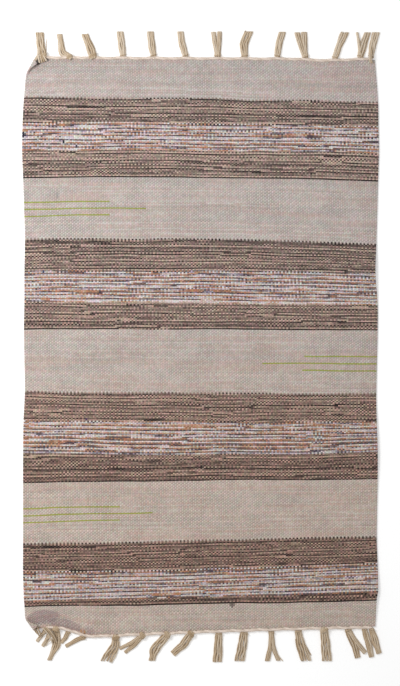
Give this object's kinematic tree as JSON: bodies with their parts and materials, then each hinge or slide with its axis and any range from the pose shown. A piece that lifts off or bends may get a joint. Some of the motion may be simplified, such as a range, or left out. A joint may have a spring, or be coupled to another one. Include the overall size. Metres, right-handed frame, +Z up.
{
  "type": "kilim rug",
  "caption": "Flat-woven wool kilim rug with pale fields, dark and mixed stripes, twined end headings and knotted warp tassels, two of its corners curled over.",
  "frame": {"origin": "on the floor, under the middle of the rug's box, tassels included", "axes": "+X to the right across the rug, +Y along its length towards the far end, +Z up from the floor"},
  "size_m": [0.812, 1.432, 0.0217],
  "materials": {
    "woven_cloth": "matte",
    "heading_cord": "matte",
    "warp_yarn": "matte"
  },
  "bodies": {
    "root": {"rug_body": "woven_cloth", "heading_far": "heading_cord", "heading_near": "heading_cord", "fringe_far": "warp_yarn", "fringe_near": "warp_yarn"}
  },
  "joints": []
}
